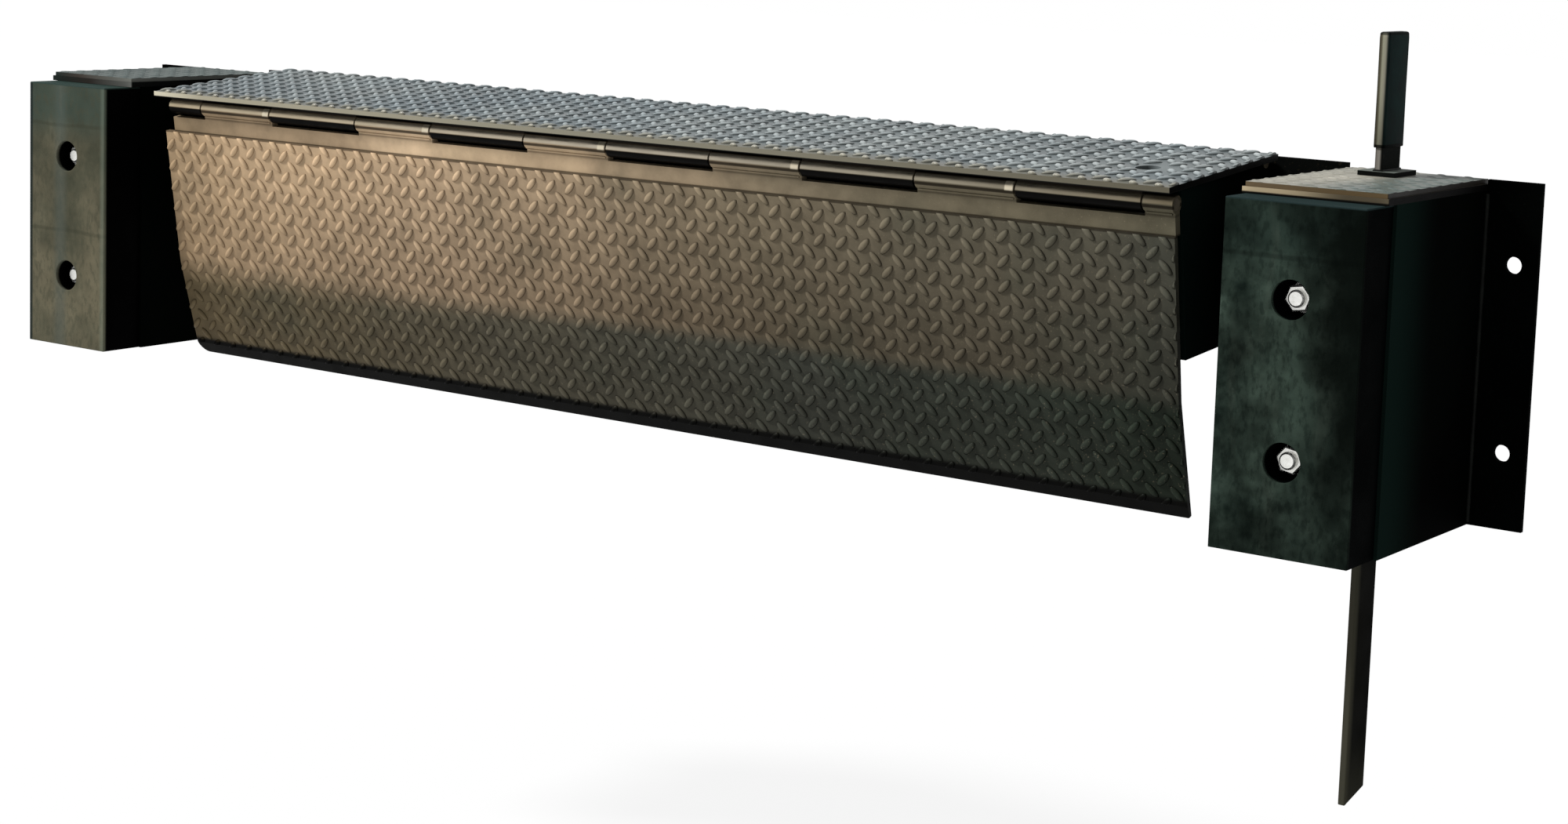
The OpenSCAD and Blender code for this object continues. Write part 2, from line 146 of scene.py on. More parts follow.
def alongAxis(tree, coords, hinge, axis):  # place along one direction of a hinge's frame, from its axis
    direction = hinge.to_3x3() @ Vector(axis)
    reach = put(tree, "ShaderNodeVectorMath", {0: coords, 1: direction}, operation="DOT_PRODUCT")
    return math2(tree, "SUBTRACT", reach.outputs["Value"], direction.dot(hinge.translation))


def bump(tree, shader, height, strength, distance):
    look = {"Height": height, "Strength": strength, "Distance": distance}
    tree.links.new(put(tree, "ShaderNodeBump", look).outputs[0], shader.inputs["Normal"])


def startMaterial(name, specular, metal=0.0):
    material = bpy.data.materials.new(name)
    material.use_nodes = True
    tree = material.node_tree
    shader = tree.nodes["Principled BSDF"]
    shader.inputs["Specular IOR Level"].default_value = specular
    shader.inputs["Metallic"].default_value = metal
    coords = put(tree, "ShaderNodeTexCoord").outputs["Object"]
    axes = put(tree, "ShaderNodeSeparateXYZ", {0: coords}).outputs
    return material, tree, shader, coords, axes


def finishMaterial(tree, shader, colour, roughness):
    tree.links.new(colour, shader.inputs["Base Color"])
    tree.links.new(roughness, shader.inputs["Roughness"])


# painted steel: two tones in soft patches, fine specks, and bands of wear, dust, painted highlight and
# painted reflection
# a band is an axis, where it starts and where it is full in metres, its share and its tint

def along(axis, tones):  # tones at places along one axis
    return {"axis": axis, "tones": tones}


def bandTint(tree, axes, tint):  # one tone, or several along an axis
    if not isinstance(tint, dict):
        return tint
    first, last = tint["tones"][0][0], tint["tones"][-1][0]
    share = mapRange(tree, axes[tint["axis"]], first, last)
    return ramp(tree, share, [((place - first) / (last - first), tone) for place, tone in tint["tones"]])


def paintedSteel(look):
    material, tree, shader, coords, axes = startMaterial(look["name"], look["specular"])
    patches = noise(tree, coords, look["patchScale"], 5)
    grain = noise(tree, coords, look["grainScale"], 2)
    colour = ramp(tree, patches, [(0.32, look["dark"]), (0.68, look["light"])])
    specks = blendRange(tree, grain, 0.60, 0.74, 0.0, look["speckShare"])
    colour = mixColour(tree, specks, colour, look["speck"])
    for axis, start, full, share, tint in look.get("bands", ()):
        inBand = blendRange(tree, axes[axis], start, full, 0.0, share)
        colour = mixColour(tree, inBand, colour, bandTint(tree, axes, tint))
    finishMaterial(tree, shader, colour, spread(tree, patches, *look["rough"]))
    bump(tree, shader, grain, look["bump"], 0.6 * mm)
    return material


blockPaint = paintedSteel({
    "name": "blockPaint", "specular": 0.002, "rough": (0.6, 0.75), "bump": 0.12,
    "dark": rgb(1, 1, 1), "light": rgb(4, 6, 5), "patchScale": 3.2, "grainScale": 210,
    "speck": rgb(20, 24, 21), "speckShare": 0.12,
    "bands": [(1, -0.15, -0.28, 0.9, rgb(13, 25, 22)),  # paler green towards the right block's front
              (0, -0.7, -0.8, 0.95, rgb(2, 3, 2))],  # the left block stays black
})
underPaint = paintedSteel({
    "name": "underPaint", "specular": 0.01, "rough": (0.5, 0.7), "bump": 0.15,
    "dark": rgb(4, 5, 4), "light": rgb(13, 14, 13), "patchScale": 4.5, "grainScale": 190,
    "speck": rgb(70, 60, 47), "speckShare": 0.2,
})
# the caps' pale grey tones include a painted reflection of the bright sky on their glossy paint
capLook = {"specular": 0.02, "rough": (0.5, 0.65), "bump": 0.2, "patchScale": 9, "grainScale": 260,
           "speckShare": 0.3}
rightCapPaint = paintedSteel(dict(
    capLook, name="rightCapPaint", specular=0.08, rough=(0.4, 0.5),
    dark=rgb(120, 120, 110), light=rgb(160, 157, 145), speck=rgb(188, 184, 170),
    bands=[(0, 1.06, 1.14, 0.85, rgb(72, 86, 84)),  # darker beyond the handle, a painted reflection of the dark handle in the glossy cap
           (2, 0.1262, 0.1254, 0.9, rgb(88, 70, 43)),  # brown sheared edge under the tread
           (0, 1.1868, 1.1878, 0.95, rgb(10, 10, 9))]))  # black outer end
leftCapPaint = paintedSteel(dict(
    capLook, name="leftCapPaint",
    dark=rgb(74, 83, 82), light=rgb(104, 112, 110), speck=rgb(132, 138, 134),
    bands=[(2, 0.1262, 0.1254, 0.95, along(0, [  # sheared edge, paler towards the ramp
        (-1.188, rgb(30, 42, 39)), (-1.13, rgb(66, 58, 52)), (-1.01, rgb(112, 114, 108))]))]))
topPlateLook = {"specular": 0.03, "rough": (0.5, 0.65), "bump": 0.1, "patchScale": 6, "grainScale": 240,
                "dark": rgb(4, 5, 4), "light": rgb(12, 14, 13), "speck": rgb(50, 47, 40), "speckShare": 0.15}
rightTopPaint = paintedSteel(dict(
    topPlateLook, name="rightTopPaint",
    bands=[(1, -0.3085, -0.3105, 1.0, rgb(176, 160, 130)),  # front edge with a painted warm highlight, brightest at its inner end
           # darker towards the outer end, where the painted highlight fades
           (0, 1.04, 1.14, 0.85, rgb(42, 38, 30)),
           (2, 0.1155, 0.1135, 1.0, rgb(10, 10, 8)),
           (0, 1.1895, 1.1907, 1.0, rgb(3, 3, 3))]))
leftTopPaint = paintedSteel(dict(
    topPlateLook, name="leftTopPaint",
    bands=[(1, -0.3085, -0.3105, 1.0, along(0, [  # front edge, paler towards the ramp
        (-1.19, rgb(24, 34, 31)), (-1.1, rgb(44, 40, 36)), (-1.0, rgb(92, 94, 90))]))]))
handlePaint = paintedSteel({
    "name": "handlePaint", "specular": 0.004, "rough": (0.45, 0.6), "bump": 0.1,
    "dark": rgb(10, 11, 10), "light": rgb(26, 29, 27), "patchScale": 14, "grainScale": 240,
    "speck": rgb(70, 68, 58), "speckShare": 0.2,
    "bands": [(1, -0.0950, -0.0960, 0.95, along(0, [  # painted highlight down the front edge, above the block
                  (1.0750, rgb(40, 38, 34)), (1.0775, rgb(118, 113, 106)), (1.0810, rgb(134, 130, 122)),
                  (1.0838, rgb(30, 30, 28))])),
              (2, 0.13, 0.12, 0.97, along(1, [  # inside and below it, a painted highlight pales the front and the side next to it
                  (-0.096, rgb(54, 53, 44)), (-0.092, rgb(46, 45, 37)), (-0.085, rgb(12, 12, 9)),
                  (-0.040, rgb(4, 4, 3))])),
              (2, -0.60, -0.69, 0.45, rgb(52, 52, 43))],  # dust at the foot
})
collarPaint = paintedSteel({
    "name": "collarPaint", "specular": 0.01, "rough": (0.5, 0.6), "bump": 0.1,
    "dark": rgb(8, 9, 8), "light": rgb(20, 22, 20), "patchScale": 20, "grainScale": 240,
    "speck": rgb(60, 60, 54), "speckShare": 0.2,
    "bands": [(2, 0.1317, 0.1321, 0.85, rgb(104, 110, 104))],  # top face worn to the steel
})
gripVinyl = paintedSteel({
    "name": "gripVinyl", "specular": 0.006, "rough": (0.4, 0.55), "bump": 0.25,
    "dark": rgb(12, 20, 20), "light": rgb(26, 40, 39), "patchScale": 22, "grainScale": 420,
    "speck": rgb(52, 57, 52), "speckShare": 0.12,
    "bands": [(1, -0.0972, -0.0985, 0.95, along(0, [  # painted highlight down the front edge
                  (1.0730, rgb(50, 48, 40)), (1.0765, rgb(76, 72, 58)), (1.0790, rgb(140, 139, 120)),
                  (1.0825, rgb(134, 131, 116)), (1.0855, rgb(26, 34, 33))])),
              (2, 0.1668, 0.1652, 0.9, rgb(5, 6, 5)),  # dirt at the foot and round the top
              (2, 0.3035, 0.3050, 0.8, rgb(14, 17, 16))],
})
rodSteel = paintedSteel({
    "name": "rodSteel", "specular": 0.3, "rough": (0.35, 0.55), "bump": 0.15,
    "dark": rgb(48, 43, 35), "light": rgb(92, 84, 69), "patchScale": 30, "grainScale": 300,
    "speck": rgb(40, 30, 20), "speckShare": 0.5,
})
weldPaint = paintedSteel({
    "name": "weldPaint", "specular": 0.05, "rough": (0.5, 0.65), "bump": 0.4,
    "dark": rgb(6, 7, 6), "light": rgb(18, 20, 18), "patchScale": 40, "grainScale": 420,
    "speck": rgb(46, 44, 38), "speckShare": 0.3,
})


# lugs are paler on their crests and darker round their feet, less so towards the left end: partly wear and
# dirt, partly painted highlight and painted shade that deepen the relief

def lugTone(tree, colour, look, across):
    foot, crest = look["rise"]
    fadeReach, fadeLeast = look["riseFade"]
    height = put(tree, "ShaderNodeAttribute", attribute_name="rise").outputs["Fac"]
    tone = math2(tree, "SUBTRACT", blendRange(tree, height, 0.0, 1.0, foot, crest), 1.0)
    tone = math2(tree, "MULTIPLY", tone, blendRange(tree, across, 0.0, fadeReach, fadeLeast, 1.0))
    return dim(tree, colour, math2(tree, "ADD", tone, 1.0))


# the lip's bronze paint carries a painted warm reflection, pale towards the left end and darker down its
# face, and painted shade below its bend
# tones and fades across the lip run from its left end, 0, to its right end, 1

lipTubes = {"first": 94 - deckPlate["half"], "step": 338.1, "length": 151, "count": 5, "endLength": 42}
lipLook = {
    # the upper tones and their fade down the face are a painted warm reflection
    "upper": [(0.0, rgb(150, 128, 100)), (0.13, rgb(170, 146, 117)), (0.3, rgb(160, 138, 112)),
              (0.62, rgb(104, 94, 77)), (1.0, rgb(60, 60, 52))],
    "upperSpan": (-45 * mm, -235 * mm), "fadeTop": 1.15,
    "fadeFoot": [(0.0, 0.86), (0.2, 0.66), (0.45, 0.64), (0.58, 0.5), (0.8, 0.6), (1.0, 0.64)],
    # the lower tones are painted shade below the bend
    "lower": [(0.0, rgb(89, 78, 58)), (0.35, rgb(68, 64, 53)), (0.65, rgb(48, 49, 43)),
              (0.9, rgb(36, 40, 34)), (1.0, rgb(25, 30, 24))],
    "lowerSpan": (-275 * mm, -335 * mm), "lowerFade": (1.28, 1.04),
    "bend": lipPlate["bend"] * mm, "bendFade": (0.1, 0.6), "bendSoft": (30 * mm, 15 * mm),
    "bendDrop": 12 * mm,
    "toe": -391.5 * mm, "toeSoft": (6 * mm, 3 * mm), "toeShadeTone": rgb(4, 4, 3),
    "cloud": 2.6, "mottle": 26, "mottleShare": (0.80, 1.12), "grain": 330, "grainTone": rgb(150, 138, 116),
    "green": 5.5, "greenTone": rgb(52, 60, 50), "lift": 1.0, "specular": 0.03,
    "darkLines": [(-40.5, 1.2, 0.7)], "darkLineTone": rgb(24, 18, 11),  # place, half width and share of each dark line
}
lipLugLook = dict(lipLook, lift=1.08, darkLines=[], rise=(0.58, 1.36), riseFade=(0.3, 0.35))
# the bar and tubes carry the same painted warm reflection along the lip
leafLook = dict(
    lipLook, lift=1.16, fadeTop=1.0, fadeFoot=[(0.0, 1.0), (1.0, 1.0)],
    upper=[(0.0, rgb(112, 97, 75)), (0.17, rgb(148, 128, 103)), (0.26, rgb(190, 166, 136)),
           (0.34, rgb(174, 152, 123)), (0.48, rgb(157, 137, 111)), (0.7, rgb(110, 100, 82)),
           (1.0, rgb(80, 76, 62))],
    # the line at -2.2 mm is painted shade between the tubes' lit tops and the bar
    darkLines=[(-40.5, 1.2, 0.7), (-2.2, 1.4, 0.85), (-14.5, 0.8, 0.35)],
    shadeAbove=10.5 * mm, shadeTone=rgb(22, 17, 11),
    endBand=(-7 * mm, 5 * mm, 2 * mm, 0.9), endTone=rgb(232, 220, 194),
    # a painted highlight along the tubes' tops
    highlightBand=(5.6 * mm, 3.2 * mm, 2.2 * mm, 1.0), highlightMetal=0.85,
    highlightTones=[(0.0, rgb(196, 180, 150)), (0.5, rgb(188, 178, 160)), (0.85, rgb(154, 146, 128)),
            (1.0, rgb(118, 108, 88))])
# the deck's tubes carry painted shade below their tops
tubeLook = dict(leafLook, darkLines=[], shadeBelow=0.6 * mm, shadeBelowTone=rgb(7, 6, 5))
tubeLook.pop("endBand")


def lipPaintMaterial(name, look):
    material, tree, shader, coords, axes = startMaterial(name, look["specular"])
    depth = alongAxis(tree, coords, lipFrame, (0, 0, 1))
    mottle = noise(tree, coords, look["mottle"], 4)
    cloud = noise(tree, coords, look["cloud"], 3)
    grain = noise(tree, coords, look["grain"], 2)
    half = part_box("lip_tread_plate")[1].x
    across = math2(tree, "ADD", mapRange(tree, axes[0], -half, half), spread(tree, cloud, -0.05, 0.05))
    soft = blendRange(tree, across, *look["bendFade"], *look["bendSoft"])
    drop = blendRange(tree, across, *look["bendFade"], look["bendDrop"] - look["bend"], -look["bend"])
    past = math2(tree, "ADD", math2(tree, "ADD", depth, spread(tree, cloud, -4 * mm, 4 * mm)), drop)
    below = blendRange(tree, math2(tree, "DIVIDE", past, soft), 1.0, -1.0)
    # painted reflection fading down the upper face, painted shade below the bend
    foot = ramp(tree, across, [(place, (tone, tone, tone, 1)) for place, tone in look["fadeFoot"]])
    upperFade = mapRange(tree, depth, *look["upperSpan"], look["fadeTop"], foot)
    upper = dim(tree, ramp(tree, across, look["upper"]), upperFade)
    lowerFade = mapRange(tree, depth, *look["lowerSpan"], *look["lowerFade"])
    lower = dim(tree, ramp(tree, across, look["lower"]), lowerFade)
    colour = mixColour(tree, below, upper, lower)
    least, most = [share * look["lift"] for share in look["mottleShare"]]
    colour = dim(tree, colour, blendRange(tree, mottle, 0.25, 0.75, least, most))
    greenish = blendRange(tree, noise(tree, coords, look["green"], 3), 0.52, 0.72, 0.0, 0.22)
    colour = mixColour(tree, greenish, colour, look["greenTone"])
    colour = mixColour(tree, blendRange(tree, grain, 0.62, 0.75, 0.0, 0.2), colour, look["grainTone"])
    if "rise" in look:
        colour = lugTone(tree, colour, look, across)
    for place, halfWidth, share in look["darkLines"]:
        darkLine = lineMask(tree, depth, place * mm, halfWidth * mm, 1.5 * mm, share)
        colour = mixColour(tree, darkLine, colour, look["darkLineTone"])
    if "highlightBand" in look:  # painted highlight: the tubes are bright and partly metallic above the axis
        highlight = lineMask(tree, depth, *look["highlightBand"])
        colour = mixColour(tree, highlight, colour, ramp(tree, across, look["highlightTones"]))
        tree.links.new(math2(tree, "MULTIPLY", highlight, look["highlightMetal"]), shader.inputs["Metallic"])
    if "endBand" in look:  # pale marks at the right ends of the lip's tubes
        firstEnd = (lipTubes["first"] + lipTubes["length"]) * mm
        step = lipTubes["step"] * mm
        wrapped = {0: math2(tree, "SUBTRACT", axes[0], firstEnd), 1: step / 2, 2: -step / 2}
        fromEnd = put(tree, "ShaderNodeMath", wrapped, operation="WRAP").outputs[0]
        bare = lineMask(tree, fromEnd, *look["endBand"])
        bare = math2(tree, "MULTIPLY", bare, blendRange(tree, depth, -1 * mm, 1 * mm))
        colour = mixColour(tree, bare, colour, look["endTone"])
    if "shadeAbove" in look:  # painted shadow in the gap under the deck's edge
        high = look["shadeAbove"]
        shade = blendRange(tree, depth, high - 1.5 * mm, high + 1.0 * mm)
        colour = mixColour(tree, shade, colour, look["shadeTone"])
    if "shadeBelow" in look:  # painted shade: the deck's tubes are black below their lit top
        low = look["shadeBelow"]
        dark = blendRange(tree, depth, low + 1.5 * mm, low - 0.5 * mm)
        colour = mixColour(tree, dark, colour, look["shadeBelowTone"])
    # painted shade on the bevelled toe, which faces down away from the light
    softAbove, softBelow = look["toeSoft"]
    onToe = blendRange(tree, depth, look["toe"] + softAbove, look["toe"] - softBelow)
    colour = mixColour(tree, onToe, colour, look["toeShadeTone"])
    finishMaterial(tree, shader, colour, spread(tree, mottle, 0.32, 0.5))
    bump(tree, shader, grain, 0.12, 0.5 * mm)
    return material


lipPaint = lipPaintMaterial("lipPaint", lipLook)
lipLugPaint = lipPaintMaterial("lipLugPaint", lipLugLook)
leafPaint = lipPaintMaterial("leafPaint", leafLook)
tubePaint = lipPaintMaterial("tubePaint", tubeLook)


# the deck's blue-grey paint, browner along the front, with dark sheared ends

deckLook = {
    "cool": rgb(90, 100, 105), "pale": rgb(114, 121, 121), "front": rgb(106, 102, 86), "frontDepth": 46 * mm,
    "edge": [(0.0, rgb(200, 194, 172)), (0.06, rgb(156, 150, 131)), (0.5, rgb(128, 124, 109)),
             (1.0, rgb(88, 84, 71))],
    "edgeShadeTone": rgb(16, 14, 10), "edgeDrop": (6.2 * mm, 7.4 * mm),
    "underTone": rgb(16, 17, 16), "underDrop": (6.5 * mm, 7.5 * mm), "endTone": rgb(9, 9, 8),
    "grainTone": rgb(60, 64, 62), "streakShare": (0.78, 1.08), "lift": 0.86, "specular": 0.04,
}
# the deck's lugs are paler than the plate: partly worn tops, partly a painted highlight
deckLugLook = dict(
    deckLook, cool=rgb(118, 129, 134), pale=rgb(150, 156, 155), front=rgb(142, 136, 116), lift=0.95,
    specular=0.12, rise=(0.55, 1.25), riseFade=(0.35, 0.3))


def deckPaintMaterial(name, look):
    material, tree, shader, coords, axes = startMaterial(name, look["specular"])
    reach = alongAxis(tree, coords, rampFrame, (0, 1, 0))
    height = alongAxis(tree, coords, rampFrame, (0, 0, 1))
    frontEdge, topFace = deckPlate["front"] * mm, deckPlate["top"] * mm
    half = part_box("deck_plate")[1].x
    across = mapRange(tree, axes[0], -half, half)
    patches = noise(tree, coords, 3.4, 5)
    streaks = noise(tree, coords, 16, 4, stretch=(1.0, 0.35, 1.0))
    grain = noise(tree, coords, 300, 2)
    colour = ramp(tree, patches, [(0.3, look["cool"]), (0.7, look["pale"])])
    front = blendRange(tree, reach, frontEdge + look["frontDepth"], frontEdge, 0.0, 0.75)
    colour = mixColour(tree, front, colour, look["front"])
    least, most = [share * look["lift"] for share in look["streakShare"]]
    colour = dim(tree, colour, spread(tree, streaks, least, most))
    colour = mixColour(tree, blendRange(tree, grain, 0.62, 0.76, 0.0, 0.3), colour, look["grainTone"])
    if "rise" in look:
        colour = lugTone(tree, colour, look, across)
    # the lower part of the front edge is painted shade, the dark gap under the deck's edge
    inFoot = blendRange(tree, height, *[topFace - drop for drop in look["edgeDrop"]])
    edgeTone = mixColour(tree, inFoot, ramp(tree, across, look["edge"]), look["edgeShadeTone"])
    onEdge = blendRange(tree, reach, frontEdge + 0.5 * mm, frontEdge + 0.2 * mm)
    colour = mixColour(tree, onEdge, colour, edgeTone)
    onEnd = blendRange(tree, math2(tree, "ABSOLUTE", axes[0]), half - 0.5 * mm, half - 0.2 * mm)
    colour = mixColour(tree, onEnd, colour, look["endTone"])
    under = blendRange(tree, height, *[topFace - drop for drop in look["underDrop"]])
    colour = mixColour(tree, under, colour, look["underTone"])
    finishMaterial(tree, shader, colour, spread(tree, streaks, 0.26, 0.44))
    bump(tree, shader, grain, 0.15, 0.5 * mm)
    return material


deckPaint = deckPaintMaterial("deckPaint", deckLook)
deckLugPaint = deckPaintMaterial("deckLugPaint", deckLugLook)


# moulded rubber: only the struck front face is scuffed and dusty
# the first two bands are in mm below the top, the third in from the right side, the last a height

rubberForm = {"topBand": (104, 44), "scuffBand": (150, 20), "wornBand": (88, 14), "wornHeight": (-290, -170)}


def bumperRubber(look):
    material, tree, shader, coords, axes = startMaterial(look["name"], look["specular"])
    low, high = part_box(look["node"])
    patches = noise(tree, coords, 10, 5)
    smears = noise(tree, coords, 26, 4, stretch=(1.0, 1.0, 0.22))
    weave = noise(tree, coords, 130, 3, stretch=(1.0, 1.0, 0.5))
    grain = noise(tree, coords, 480, 2)
    front = ramp(tree, patches, [(0.34, look["dark"]), (0.66, look["light"])])
    wavyHeight = math2(tree, "ADD", axes[2], spread(tree, patches, -2 * mm, 2 * mm))
    topBand = [high.z - drop * mm for drop in rubberForm["topBand"]]
    front = mixColour(tree, blendRange(tree, wavyHeight, *topBand, 0.0, 0.85), front, look["topTone"])
    scuffBand = [high.z - drop * mm for drop in rubberForm["scuffBand"]]
    scuffs = math2(tree, "MULTIPLY", blendRange(tree, smears, 0.54, 0.68),
                   blendRange(tree, axes[2], *scuffBand, 0.1, look["scuffShare"]))
    front = mixColour(tree, scuffs, front, look["scuff"])
    front = mixColour(tree, blendRange(tree, weave, 0.46, 0.66, 0.0, 0.5), front, look["dark"])
    blotch = noise(tree, coords, 15, 3)
    front = dim(tree, front, spread(tree, blotch, 1.0 - look["blotch"], 1.0 + look["blotch"]))
    for drop in look["darkLines"]:  # faint lines across the face
        seam = lineMask(tree, wavyHeight, high.z - drop * mm, 1 * mm, 4 * mm, 0.4)
        front = mixColour(tree, seam, front, look["darkLineTone"])
    if "wornSide" in look:  # darker where nothing rubs the dust on
        wavySide = math2(tree, "ADD", axes[0], spread(tree, patches, -30 * mm, 30 * mm))
        wornBand = [high.x - inset * mm for inset in rubberForm["wornBand"]]
        wornHeight = [height * mm for height in rubberForm["wornHeight"]]
        inPatch = math2(tree, "MULTIPLY", blendRange(tree, wavySide, *wornBand, 0.0, 0.95),
                        blendRange(tree, axes[2], *wornHeight, 0.5, 1.0))
        front = mixColour(tree, inPatch, front, look["wornSide"])
    for place, halfWidth, soft, share, tint in look["stripes"]:  # worn or dirty strips down the face
        strip = lineMask(tree, axes[0], place * mm, halfWidth * mm, soft * mm, share)
        front = mixColour(tree, strip, front, tint)
    onFront = blendRange(tree, axes[1], low.y + 7 * mm, low.y + 1.5 * mm)
    onTop = blendRange(tree, axes[2], high.z - 3 * mm, high.z - 0.5 * mm)
    colour = mixColour(tree, onFront, look["side"], front)
    colour = mixColour(tree, onTop, colour, look["topDust"])
    finishMaterial(tree, shader, colour, spread(tree, patches, 0.55, 0.75))
    bump(tree, shader, math2(tree, "ADD", grain, smears), 0.25, 0.7 * mm)
    return material


rightRubber = bumperRubber({
    "name": "rightRubber", "node": "right_bumper", "specular": 0.004,
    "dark": rgb(13, 20, 17), "light": rgb(54, 66, 58), "topTone": rgb(24, 33, 29), "side": rgb(2, 3, 3),
    "scuff": rgb(74, 80, 71), "scuffShare": 0.12, "blotch": 0.55, "darkLines": [66], "darkLineTone": rgb(8, 11, 9),
    "topDust": rgb(34, 46, 46), "wornSide": rgb(6, 9, 7), "stripes": [],
})
leftRubber = bumperRubber({
    "name": "leftRubber", "node": "left_bumper", "specular": 0.01,
    "dark": rgb(64, 65, 53), "light": rgb(96, 91, 74), "topTone": rgb(52, 63, 56), "side": rgb(1, 1, 1),
    "scuff": rgb(110, 106, 90), "scuffShare": 0.2, "blotch": 0.12, "darkLines": [66, 240],
    "darkLineTone": rgb(52, 53, 42), "topDust": rgb(44, 58, 54),
    "stripes": [(-1186, 5, 4, 0.9, rgb(28, 36, 36)), (-1110, 1, 22, 0.3, rgb(80, 90, 87)),
                (-1006, 2, 8, 0.35, rgb(104, 114, 101))],
})


def zincMaterial():
    material, tree, shader, coords, axes = startMaterial("brightZinc", 0.5, 0.9)
    spangle = noise(tree, coords, 240, 3)
    colour = ramp(tree, spangle, [(0.3, rgb(222, 222, 216)), (0.7, rgb(250, 250, 246))])
    finishMaterial(tree, shader, colour, spread(tree, spangle, 0.25, 0.42))
    bump(tree, shader, spangle, 0.1, 0.3 * mm)
    return material


brightZinc = zincMaterial()
print("materials made:", len(bpy.data.materials))


# geometry-node helpers

def startTree(name, inputs):
    tree = bpy.data.node_groups.new(name, "GeometryNodeTree")
    tree.interface.new_socket("Geometry", in_out="OUTPUT", socket_type="NodeSocketGeometry")
    for label, kind in inputs:
        tree.interface.new_socket(label, in_out="INPUT", socket_type="NodeSocket" + kind)
    return tree, tree.nodes.new("NodeGroupInput").outputs


def endTree(tree, geometry, finish):
    real = put(tree, "GeometryNodeRealizeInstances", {"Geometry": geometry}).outputs[0]
    coated = put(tree, "GeometryNodeSetMaterial", {"Geometry": real, "Material": finish}).outputs[0]
    tree.links.new(coated, tree.nodes.new("NodeGroupOutput").inputs[0])


def vector3(tree, x=0.0, y=0.0, z=0.0):
    return put(tree, "ShaderNodeCombineXYZ", {0: x, 1: y, 2: z}).outputs[0]


def turn(tree, x=0.0, y=0.0, z=0.0):
    return put(tree, "FunctionNodeEulerToRotation", {0: vector3(tree, x, y, z)}).outputs[0]


def moveBy(tree, geometry, offset):
    return put(tree, "GeometryNodeTransform", {"Geometry": geometry, "Translation": offset}).outputs[0]


def join(tree, *shapes):
    node = tree.nodes.new("GeometryNodeJoinGeometry")
    for shape in reversed(shapes):
        tree.links.new(shape, node.inputs[0])
    return node.outputs[0]


def stepUp(tree, mesh, top, height, shrink):  # raises the top face and draws it in
    lift = {"Mesh": mesh, "Selection": top, "Offset": vector3(tree, z=1.0), "Offset Scale": height}
    raised = put(tree, "GeometryNodeExtrudeMesh", lift, mode="FACES").outputs
    drawn = {"Geometry": raised["Mesh"], "Selection": raised["Top"], "Scale": shrink}
    return put(tree, "GeometryNodeScaleElements", drawn, domain="FACE").outputs[0], raised["Top"]


def runTree(pieceName, tree, values, startMesh=None):
    piece = bpy.data.objects.new(pieceName, startMesh or bpy.data.meshes.new(pieceName))
    scene.collection.objects.link(piece)
    builder = piece.modifiers.new("builder", "NODES")
    builder.node_group = tree
    for item in tree.interface.items_tree:
        if item.in_out == "INPUT" and item.name in values:
            builder[item.identifier] = values[item.name]
    graph = bpy.context.evaluated_depsgraph_get()
    result = piece.evaluated_get(graph)
    made = bpy.data.meshes.new_from_object(result, preserve_all_data_layers=True, depsgraph=graph)
    piece.modifiers.remove(builder)
    piece.data = made
    made.name = pieceName
    return piece


def pathMesh(name, lines):
    points, edges = [], []
    for line in lines:
        edges += [(len(points) + step, len(points) + step + 1) for step in range(len(line) - 1)]
        points += [tuple(point) for point in line]
    mesh = bpy.data.meshes.new(name)
    mesh.from_pydata(points, edges, [])
    return mesh


# tread lugs: two crossed sets of slanted lugs, each half a pitch from the other

lugLook = {"Lug Length": 28 * mm, "Lug Width": 11 * mm, "Lug Height": 3.6 * mm, "Sunk": 0.4 * mm,
           "Pitch Across": 36.4 * mm, "Pitch Along": 33.7 * mm, "Slant": math.radians(45)}
lugDome = ((0.58, 0.78), (0.30, 0.66), (0.12, 0.52))  # share of the height and shrink of each step
edgeInset = 0.4 * mm  # how far inside the plate's edge the lugs are cut
nowhere = (9e6, 0, 0)  # for a field with no bare place


